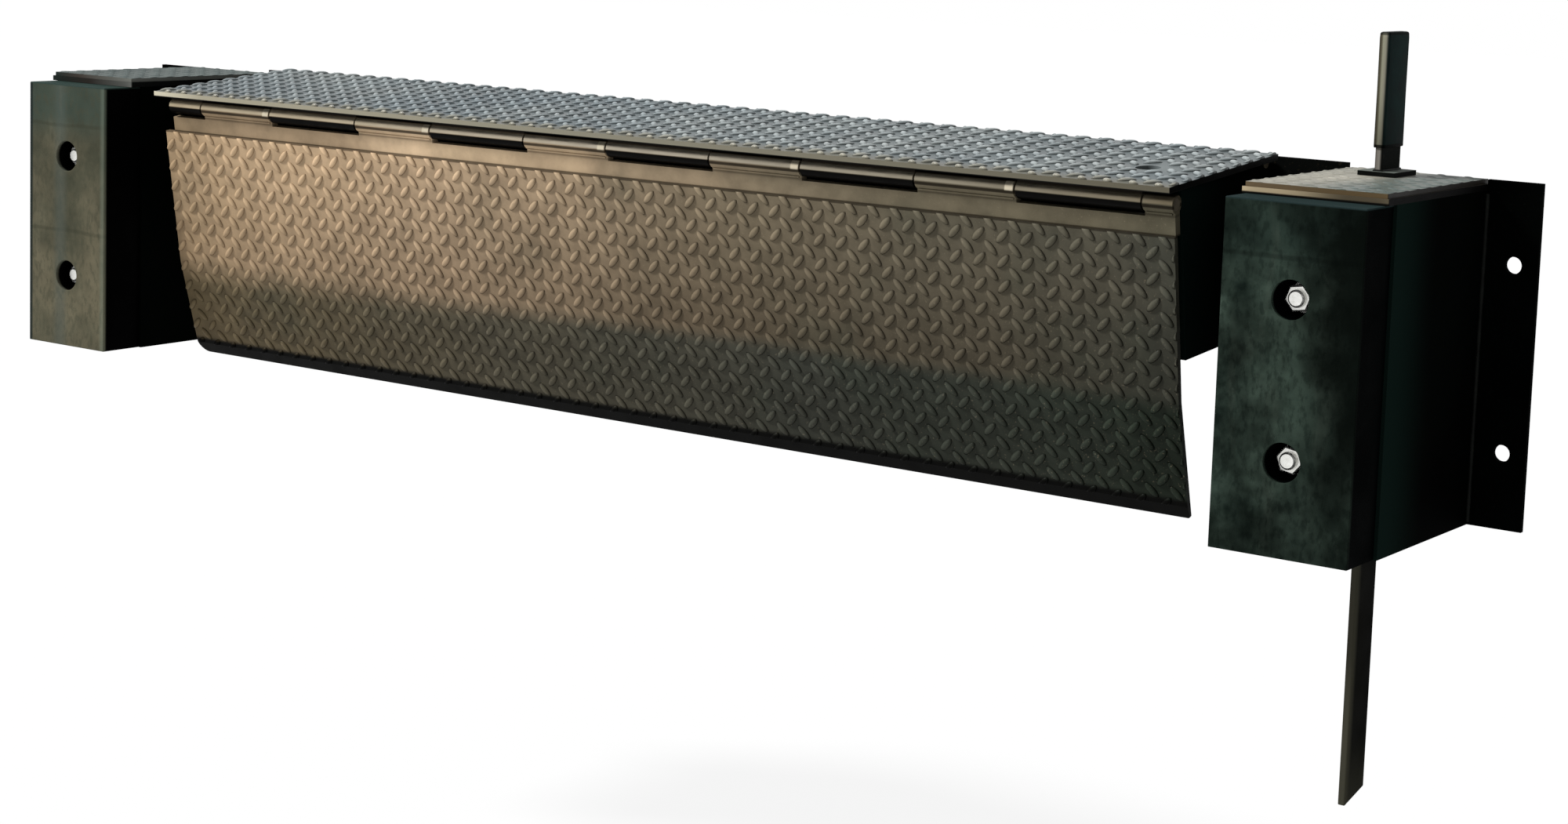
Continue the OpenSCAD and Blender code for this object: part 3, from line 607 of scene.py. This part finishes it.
def treadLugTree():
    tree, given = startTree("treadLugs", [
        ("Lug Length", "Float"), ("Lug Width", "Float"), ("Lug Height", "Float"), ("Sunk", "Float"),
        ("Pitch Across", "Float"), ("Pitch Along", "Float"), ("Slant", "Float"),
        ("Columns", "Int"), ("Rows", "Int"), ("First Lug", "Vector"),
        ("Bare Middle", "Vector"), ("Bare Half", "Vector"), ("Finish", "Material")])
    disc = put(tree, "GeometryNodeMeshCircle", {"Vertices": 12, "Radius": 1.0}, fill_type="NGON").outputs[0]
    plan = vector3(tree, math2(tree, "MULTIPLY", given["Lug Length"], 0.5),
                   math2(tree, "MULTIPLY", given["Lug Width"], 0.5), 1.0)
    foot = vector3(tree, z=math2(tree, "MULTIPLY", given["Sunk"], -1.0))
    laid = {"Geometry": disc, "Scale": plan, "Translation": foot}
    flat = put(tree, "GeometryNodeTransform", laid).outputs[0]
    whole = math2(tree, "ADD", given["Lug Height"], given["Sunk"])
    shape, top = flat, True
    for share, shrink in lugDome:
        shape, top = stepUp(tree, shape, top, math2(tree, "MULTIPLY", whole, share), shrink)
    sole = put(tree, "GeometryNodeFlipFaces", {"Mesh": flat}).outputs[0]
    closed = {"Geometry": join(tree, shape, sole), "Distance": 0.01 * mm}
    lug = put(tree, "GeometryNodeMergeByDistance", closed).outputs[0]
    lug = put(tree, "GeometryNodeSetShadeSmooth", {"Geometry": lug}).outputs[0]
    place = tree.nodes.new("GeometryNodeInputPosition").outputs[0]
    tall = put(tree, "ShaderNodeSeparateXYZ", {0: place}).outputs[2]
    rise = {"Geometry": lug, "Name": "rise", "Value": math2(tree, "DIVIDE", tall, given["Lug Height"])}
    lug = put(tree, "GeometryNodeStoreNamedAttribute", rise, data_type="FLOAT", domain="POINT").outputs[0]

    spanX = math2(tree, "MULTIPLY", given["Pitch Across"], math2(tree, "SUBTRACT", given["Columns"], 1.0))
    spanY = math2(tree, "MULTIPLY", given["Pitch Along"], math2(tree, "SUBTRACT", given["Rows"], 1.0))
    sizes = {"Size X": spanX, "Size Y": spanY, "Vertices X": given["Columns"], "Vertices Y": given["Rows"]}
    grid = put(tree, "GeometryNodeMeshGrid", sizes).outputs[0]
    halfSpan = vector3(tree, math2(tree, "MULTIPLY", spanX, 0.5), math2(tree, "MULTIPLY", spanY, 0.5))
    first = vectorMath(tree, "ADD", given["First Lug"], halfSpan)
    halfPitch = vector3(tree, math2(tree, "MULTIPLY", given["Pitch Across"], 0.5),
                        math2(tree, "MULTIPLY", given["Pitch Along"], 0.5))
    second = vectorMath(tree, "ADD", first, halfPitch)

    away = vectorMath(tree, "ABSOLUTE", vectorMath(tree, "SUBTRACT", place, given["Bare Middle"]))
    past = vectorMath(tree, "SUBTRACT", away, given["Bare Half"])
    pastParts = put(tree, "ShaderNodeSeparateXYZ", {0: past}).outputs
    bare = math2(tree, "LESS_THAN", math2(tree, "MAXIMUM", pastParts[0], pastParts[1]), 0.0)
    families = []
    for offset, sign in ((first, 1.0), (second, -1.0)):
        points = moveBy(tree, grid, offset)
        points = put(tree, "GeometryNodeDeleteGeometry", {"Geometry": points, "Selection": bare}).outputs[0]
        lean = turn(tree, z=math2(tree, "MULTIPLY", given["Slant"], sign))
        families.append(put(tree, "GeometryNodeInstanceOnPoints",
                            {"Points": points, "Instance": lug, "Rotation": lean}).outputs[0])
    endTree(tree, join(tree, *families), given["Finish"])
    return tree


lugTree = treadLugTree()


def trimToPlate(mesh, lowX, highX, lowY, highY):  # lugs at a sheared edge are cut with the plate
    shape = bmesh.new()
    shape.from_mesh(mesh)
    for point, outward in (((lowX, 0, 0), (-1, 0, 0)), ((highX, 0, 0), (1, 0, 0)),
                           ((0, lowY, 0), (0, -1, 0)), ((0, highY, 0), (0, 1, 0))):
        everything = shape.verts[:] + shape.edges[:] + shape.faces[:]
        cut = bmesh.ops.bisect_plane(shape, geom=everything, dist=0.001 * mm, plane_co=point,
                                     plane_no=outward, clear_outer=True)
        rims = [item for item in cut["geom_cut"] if isinstance(item, bmesh.types.BMEdge)]
        bmesh.ops.edgenet_fill(shape, edges=rims)
    bmesh.ops.recalc_face_normals(shape, faces=shape.faces[:])
    shape.to_mesh(mesh)
    shape.free()


def bendPlate(mesh, line, angle):  # turns what lies beyond a line across the plate
    bent = Matrix.Rotation(angle, 4, "X")
    turned = Matrix.Translation((0, line, 0)) @ bent @ Matrix.Translation((0, -line, 0))
    for vert in mesh.vertices:
        if vert.co.y < line:
            vert.co = turned @ vert.co


def layLugs(pieceName, body, field):
    values = dict(lugLook, **field.get("lugs", {}))
    lowX, highX, lowY, highY = [edge * mm for edge in field["plate"]]
    startX = lowX + (field["throughX"] * mm - lowX) % values["Pitch Across"] - values["Pitch Across"]
    startY = lowY + (field["throughY"] * mm - lowY) % values["Pitch Along"] - values["Pitch Along"]
    values.update({
        "Columns": int((highX - startX) / values["Pitch Across"]) + 2,
        "Rows": int((highY - startY) / values["Pitch Along"]) + 2,
        "First Lug": (startX, startY, 0.0), "Finish": field["finish"],
        "Bare Middle": tuple(part * mm for part in field.get("bareMiddle", nowhere)),
        "Bare Half": tuple(part * mm for part in field.get("bareHalf", (1, 1, 0)))})
    piece = runTree(pieceName, lugTree, values)
    trimToPlate(piece.data, lowX + edgeInset, highX - edgeInset, lowY + edgeInset, highY - edgeInset)
    if "bendLine" in field:
        bendPlate(piece.data, field["bendLine"] * mm, math.radians(stored["lipBend"]))
    piece.data.transform(field["frame"])
    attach(piece, body)
    print(pieceName + ":", len(piece.data.polygons), "faces")


# a field's plate, the lug it runs through and its bare place are in mm
deckHalf, lipHalf = deckPlate["half"], lipPlate["half"]
layLugs("deck_lugs", "ramp", {
    "plate": (-deckHalf, deckHalf, deckPlate["front"], deckPlate["rear"]), "throughX": 370, "throughY": -297,
    "finish": deckLugPaint, "frame": rampFrame @ Matrix.Translation((0, 0, deckPlate["top"] * mm)),
    "bareMiddle": (819.5, -198, 0), "bareHalf": (27, 27, 0)})  # bare round the lifting hole
lipFace = lipFrame @ Matrix.Translation((0, lipPlate["face"] * mm, 0))
layLugs("lip_lugs", "lip", {
    "plate": (-lipHalf, lipHalf, lipPlate["bevel"], lipPlate["top"]), "throughX": 370.5, "throughY": -62.8,
    "finish": lipLugPaint, "frame": lipFace @ Matrix.Rotation(math.radians(90), 4, "X"),
    "bendLine": lipPlate["bend"]})
for side, sign in sides:
    low, high = [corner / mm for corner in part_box(side + "_tread_cap")]
    layLugs(side + "_cap_lugs", "frame", {
        "plate": (low.x, high.x, low.y, high.y), "throughX": 1000 * sign, "throughY": -290,
        "finish": leftCapPaint if sign < 0 else rightCapPaint, "lugs": {"Lug Height": 0.9 * mm},  # worn low
        "frame": Matrix.Translation((0, 0, high.z * mm)),
        "bareMiddle": (1080, -68, 0), "bareHalf": (38, 51, 0)})  # bare under the handle's collar


# rounded copies of the solids whose soft edges show

padEdges = {"radius": 4.0, "segments": 3}
flatEdges = {"radius": 1.5, "segments": 2}


def roundedCopy(pieceName, nodeName, body, finish, edges):
    source = cadNodes[nodeName]
    shape = bmesh.new()
    shape.from_mesh(source.data)
    bmesh.ops.remove_doubles(shape, verts=shape.verts[:], dist=0.01 * mm)
    bmesh.ops.dissolve_limit(shape, angle_limit=math.radians(0.5), verts=shape.verts[:], edges=shape.edges[:])
    mesh = bpy.data.meshes.new(pieceName)
    shape.to_mesh(mesh)
    shape.free()
    mesh.materials.clear()
    mesh.materials.append(finish)
    piece = bpy.data.objects.new(pieceName, mesh)
    scene.collection.objects.link(piece)
    rounding = piece.modifiers.new("softEdges", "BEVEL")
    rounding.width = edges["radius"] * mm
    rounding.segments = edges["segments"]
    rounding.limit_method = "ANGLE"
    rounding.angle_limit = math.radians(40)
    graph = bpy.context.evaluated_depsgraph_get()
    made = bpy.data.meshes.new_from_object(piece.evaluated_get(graph), depsgraph=graph)
    piece.modifiers.remove(rounding)
    piece.data = made
    made.name = pieceName
    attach(piece, body)
    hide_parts(nodeName)


roundedCopy("left_bumper_pad", "left_bumper", "frame", leftRubber, padEdges)
roundedCopy("right_bumper_pad", "right_bumper", "frame", rightRubber, padEdges)
roundedCopy("handle_flat", "handle_bar", "handle", handlePaint, flatEdges)
print("rounded copies made")


# bumper fixings: washer, nut and stud end in each recess

fixing = {"Washer Radius": 21 * mm, "Washer Height": 4 * mm, "Nut Radius": 18 * mm, "Nut Height": 25 * mm,
          "Stud Radius": 11 * mm, "Stud End": 6 * mm, "Seed": 4, "Finish": brightZinc}
fixingEdges = {"washer": (40, 0.6 * mm, 0.97), "nut": (6, 1.6 * mm, 0.88), "stud": (28, 2.0 * mm, 0.78)}
recess = {"floor": -313, "middle": 1095, "heights": (-5.25, -202.25)}  # in mm, from the part's origin
sixthTurn = 1.047  # each nut stands at its own angle within this


def bumperFixingTree():
    tree, given = startTree("bumperFixings", [
        ("Points", "Geometry"), ("Washer Radius", "Float"), ("Washer Height", "Float"),
        ("Nut Radius", "Float"), ("Nut Height", "Float"), ("Stud Radius", "Float"), ("Stud End", "Float"),
        ("Seed", "Int"), ("Finish", "Material")])

    def turned(radius, height, base, corners, chamfer, shrink):  # a round or six-sided disc with a chamfer
        straight = math2(tree, "SUBTRACT", height, chamfer)
        sizes = {"Vertices": corners, "Radius": radius, "Depth": straight}
        disc = put(tree, "GeometryNodeMeshCylinder", sizes, fill_type="NGON").outputs
        body, top = stepUp(tree, disc["Mesh"], disc["Top"], chamfer, shrink)
        lift = math2(tree, "ADD", base, math2(tree, "MULTIPLY", straight, 0.5))
        return moveBy(tree, body, vector3(tree, z=lift))

    washer = turned(given["Washer Radius"], given["Washer Height"], 0.0, *fixingEdges["washer"])
    nut = turned(given["Nut Radius"], given["Nut Height"], given["Washer Height"], *fixingEdges["nut"])
    nutTop = math2(tree, "ADD", given["Washer Height"], given["Nut Height"])
    stud = turned(given["Stud Radius"], given["Stud End"], nutTop, *fixingEdges["stud"])
    drawn = {"Seed": given["Seed"], 2: 0.0, 3: sixthTurn}
    spin = put(tree, "FunctionNodeRandomValue", drawn, data_type="FLOAT").outputs[1]
    facing = turn(tree, math.radians(90), spin)
    stacked = {"Points": given["Points"], "Instance": join(tree, washer, nut, stud), "Rotation": facing}
    endTree(tree, put(tree, "GeometryNodeInstanceOnPoints", stacked).outputs[0], given["Finish"])
    return tree


spots = [[(sign * recess["middle"] * mm, recess["floor"] * mm, height * mm)]
         for side, sign in sides for height in recess["heights"]]
fixings = runTree("bumper_fixings", bumperFixingTree(), fixing, pathMesh("fixingSpots", spots))
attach(fixings, "frame")
print("bumper_fixings:", len(fixings.data.polygons), "faces")


# weld beads along joints

def weldTree():
    tree, given = startTree("weldBeads", [
        ("Paths", "Geometry"), ("Bead Radius", "Float"), ("Ripple", "Float"), ("Step", "Float"),
        ("Finish", "Material")])
    curves = put(tree, "GeometryNodeMeshToCurve", {"Mesh": given["Paths"]}).outputs[0]
    spaced = {"Curve": curves, "Length": given["Step"]}
    even = put(tree, "GeometryNodeResampleCurve", spaced, mode="LENGTH").outputs[0]
    place = tree.nodes.new("GeometryNodeInputPosition").outputs[0]
    rough = put(tree, "ShaderNodeTexNoise", {"Vector": place, "Scale": 210.0, "Detail": 1.0}).outputs["Fac"]
    swing = math2(tree, "MULTIPLY", math2(tree, "SUBTRACT", rough, 0.5), given["Ripple"])
    rippled = {"Curve": even, "Radius": math2(tree, "ADD", swing, 1.0)}
    bead = put(tree, "GeometryNodeSetCurveRadius", rippled).outputs[0]
    ring = {"Resolution": 7, "Radius": given["Bead Radius"]}
    section = put(tree, "GeometryNodeCurvePrimitiveCircle", ring).outputs[0]
    sweep = {"Curve": bead, "Profile Curve": section, "Fill Caps": True}
    solid = put(tree, "GeometryNodeCurveToMesh", sweep).outputs[0]
    endTree(tree, put(tree, "GeometryNodeSetShadeSmooth", {"Geometry": solid}).outputs[0], given["Finish"])
    return tree


beadTree = weldTree()


def layBeads(pieceName, body, look, lines):
    values = {"Bead Radius": look["radius"] * mm, "Ripple": look["ripple"], "Step": look["step"] * mm,
              "Finish": look["finish"]}
    piece = runTree(pieceName, beadTree, values, pathMesh(pieceName, lines))
    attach(piece, body)
    print(pieceName + ":", len(piece.data.polygons), "faces")


beadOut = 1 * mm  # how far a bead's middle lies outside the corner it fills
endGap = 4 * mm  # bare length at each end of a flange's bead
flangeLines = []
for side, sign in sides:
    low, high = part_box(side + "_wall_flange")
    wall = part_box(side + "_outer_wall")
    cornerX = wall[1].x if sign > 0 else wall[0].x
    flangeLines.append([(cornerX + sign * beadOut, low.y - beadOut, height)
                        for height in (low.z + endGap, wall[1].z - endGap)])
layBeads("flange_welds", "frame",
         {"radius": 3.0, "ripple": 0.7, "step": 2.5, "finish": weldPaint}, flangeLines)

ribWeld = {"ends": (-40, -262), "height": 7}  # in the ramp's own frame, in mm
ribLines = []
for ribName in sorted(name for name in cadNodes if name.startswith("ramp_rib_")):
    low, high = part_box(ribName)
    for x in (low.x - beadOut, high.x + beadOut):
        corners = [Vector((x, end * mm, ribWeld["height"] * mm)) for end in ribWeld["ends"]]
        ribLines.append([rampFrame @ corner for corner in corners])
layBeads("rib_welds", "ramp",
         {"radius": 3.0, "ripple": 0.7, "step": 3.0, "finish": weldPaint}, ribLines)

tubeWeld = {"forward": -6.2, "drop": -11.6, "endGap": 3}  # in the lip's own frame, in mm
tubeStarts = [lipTubes["first"] + lipTubes["step"] * number for number in range(lipTubes["count"])]
tubeSpans = [(start, start + lipTubes["length"]) for start in tubeStarts]
tubeSpans.append((lipHalf - lipTubes["endLength"], lipHalf))
tubeLines = [[lipFrame @ Vector((x * mm, tubeWeld["forward"] * mm, tubeWeld["drop"] * mm))
              for x in (start + tubeWeld["endGap"], end - tubeWeld["endGap"])] for start, end in tubeSpans]
layBeads("lip_tube_welds", "lip",
         {"radius": 1.7, "ripple": 0.7, "step": 2.0, "finish": leafPaint}, tubeLines)

low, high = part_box("handle_bar")
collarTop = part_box("handle_collar")[1].z
around = [(low.x, low.y), (high.x, low.y), (high.x, high.y), (low.x, high.y), (low.x, low.y)]
layBeads("collar_weld", "handle",
         {"radius": 2.0, "ripple": 0.6, "step": 2.0, "finish": weldPaint},
         [[(x, y, collarTop + 0.3 * mm) for x, y in around]])


# the grip: a dipped sleeve with round corners and a soft square top
# each ring is a height and how far it stands out from the solid's sides, in mm

gripLook = {"corner": 3.2, "cornerSteps": 5,
            "rings": [(0, -0.7), (0.8, 0.0), (70, -0.2), (138, 0.0), (143.5, -0.3), (145.3, -1.0),
                      (146, -2.6)]}


def gripSleeve(look):
    low, high = [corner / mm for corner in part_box("handle_grip")]
    middle = (low + high) / 2
    shape = bmesh.new()
    rings = []
    for height, grow in look["rings"]:
        halfX, halfY = (high.x - low.x) / 2 + grow, (high.y - low.y) / 2 + grow
        corner = min(look["corner"], halfX - 0.5)
        ring = []
        for quarter, (sideX, sideY) in enumerate(((1, 1), (-1, 1), (-1, -1), (1, -1))):
            for step in range(look["cornerSteps"] + 1):
                angle = math.radians(90 * (quarter + step / look["cornerSteps"]))
                x = middle.x + sideX * (halfX - corner) + corner * math.cos(angle)
                y = middle.y + sideY * (halfY - corner) + corner * math.sin(angle)
                ring.append(shape.verts.new((x * mm, y * mm, (low.z + height) * mm)))
        rings.append(ring)
    for below, above in zip(rings, rings[1:]):
        for step in range(len(below)):
            after = (step + 1) % len(below)
            shape.faces.new((below[step], below[after], above[after], above[step])).smooth = True
    shape.faces.new(rings[-1]).smooth = True
    shape.faces.new(list(reversed(rings[0])))
    bmesh.ops.recalc_face_normals(shape, faces=shape.faces[:])
    mesh = bpy.data.meshes.new("grip_sleeve")
    shape.to_mesh(mesh)
    shape.free()
    mesh.materials.append(gripVinyl)
    return mesh


grip = bpy.data.objects.new("grip_sleeve", gripSleeve(gripLook))
scene.collection.objects.link(grip)
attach(grip, "handle")
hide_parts("handle_grip")
print("grip_sleeve:", len(grip.data.polygons), "faces")


# finishes for the solids that show as they are

def finishFor(nodeName):
    if nodeName == "deck_plate":
        return deckPaint
    if nodeName == "lip_tread_plate":
        return lipPaint
    if nodeName == "lip_hinge_leaf":
        return leafPaint
    if nodeName.endswith("_rod"):
        return rodSteel
    if nodeName == "ramp_front_leaf":
        return tubePaint
    if nodeName == "handle_collar":
        return collarPaint
    if nodeName.startswith("handle"):
        return handlePaint
    if nodeName.endswith("tread_cap"):
        return leftCapPaint if nodeName.startswith("left") else rightCapPaint
    if nodeName.endswith("box_top"):
        return leftTopPaint if nodeName.startswith("left") else rightTopPaint
    if nodeName.startswith(("ramp_", "mounting", "frame_")):
        return underPaint
    return blockPaint


for nodeName, node in cadNodes.items():
    finish = finishFor(nodeName)
    if not node.material_slots:
        node.data.materials.append(finish)
    for slot in node.material_slots:
        slot.material = finish
print("finishes assigned")


# stage: pale floor at yard level, soft even light

stageLook = {"floorDepth": -1.09, "floorSize": 60, "floorTone": 0.85, "whiteShare": 0.88,
             "ambient": 0.34, "keyFrom": (-0.62, -0.42, 0.66), "keyStrength": 4.2, "keyAngle": 9}


def backdropRays(tree):  # camera, mirror and glass rays see the white backdrop
    path = tree.nodes.new("ShaderNodeLightPath").outputs
    seen = math2(tree, "MAXIMUM", path["Is Camera Ray"], path["Is Glossy Ray"])
    return math2(tree, "MAXIMUM", seen, path["Is Transmission Ray"])


def makeFloor(look):
    half = look["floorSize"] / 2
    mesh = bpy.data.meshes.new("floor")
    corners = [(-half, -half), (half, -half), (half, half), (-half, half)]
    mesh.from_pydata([(x, y, look["floorDepth"]) for x, y in corners], [], [(0, 1, 2, 3)])
    material = bpy.data.materials.new("floorWhite")
    material.use_nodes = True
    tree = material.node_tree
    tree.nodes.remove(tree.nodes["Principled BSDF"])
    tone = look["floorTone"]
    matt = put(tree, "ShaderNodeBsdfDiffuse", {"Color": (tone, tone, tone, 1)}).outputs[0]
    white = put(tree, "ShaderNodeEmission", {"Strength": 1.0}).outputs[0]
    share = math2(tree, "MULTIPLY", backdropRays(tree), look["whiteShare"])
    mixed = put(tree, "ShaderNodeMixShader", {0: share, 1: matt, 2: white}).outputs[0]
    tree.links.new(mixed, tree.nodes["Material Output"].inputs["Surface"])
    mesh.materials.append(material)
    floor = bpy.data.objects.new("floor", mesh)
    scene.collection.objects.link(floor)


def lightRoom(look):
    world = bpy.data.worlds.new("room")
    scene.world = world
    world.use_nodes = True
    tree = world.node_tree
    sky = tree.nodes["Background"]
    sky.inputs["Color"].default_value = (1, 1, 1, 1)
    seen = backdropRays(tree)
    lift = math2(tree, "MULTIPLY", seen, 1.0 - look["ambient"])
    tree.links.new(math2(tree, "ADD", lift, look["ambient"]), sky.inputs["Strength"])
    key = bpy.data.lights.new("key", "SUN")
    key.energy = look["keyStrength"]
    key.angle = math.radians(look["keyAngle"])
    lamp = bpy.data.objects.new("key", key)
    lamp.rotation_euler = Vector(look["keyFrom"]).to_track_quat("Z", "Y").to_euler()
    scene.collection.objects.link(lamp)


makeFloor(stageLook)
lightRoom(stageLook)


# camera at the photograph's viewing angle

view = {"place": (2.5319, -3.4135, 0.4385), "turn": (83.292, -1.899, 35.756), "sensor": 36, "lens": 64.65,
        "shiftY": -0.1108}
lens = bpy.data.cameras.new("camera")
lens.sensor_width = view["sensor"]
lens.lens = view["lens"]
lens.shift_y = view["shiftY"]
camera = bpy.data.objects.new("camera", lens)
camera.location = view["place"]
camera.rotation_euler = [math.radians(angle) for angle in view["turn"]]
scene.collection.objects.link(camera)
scene.camera = camera
scene.view_settings.view_transform = "Standard"
print("stage and camera set")
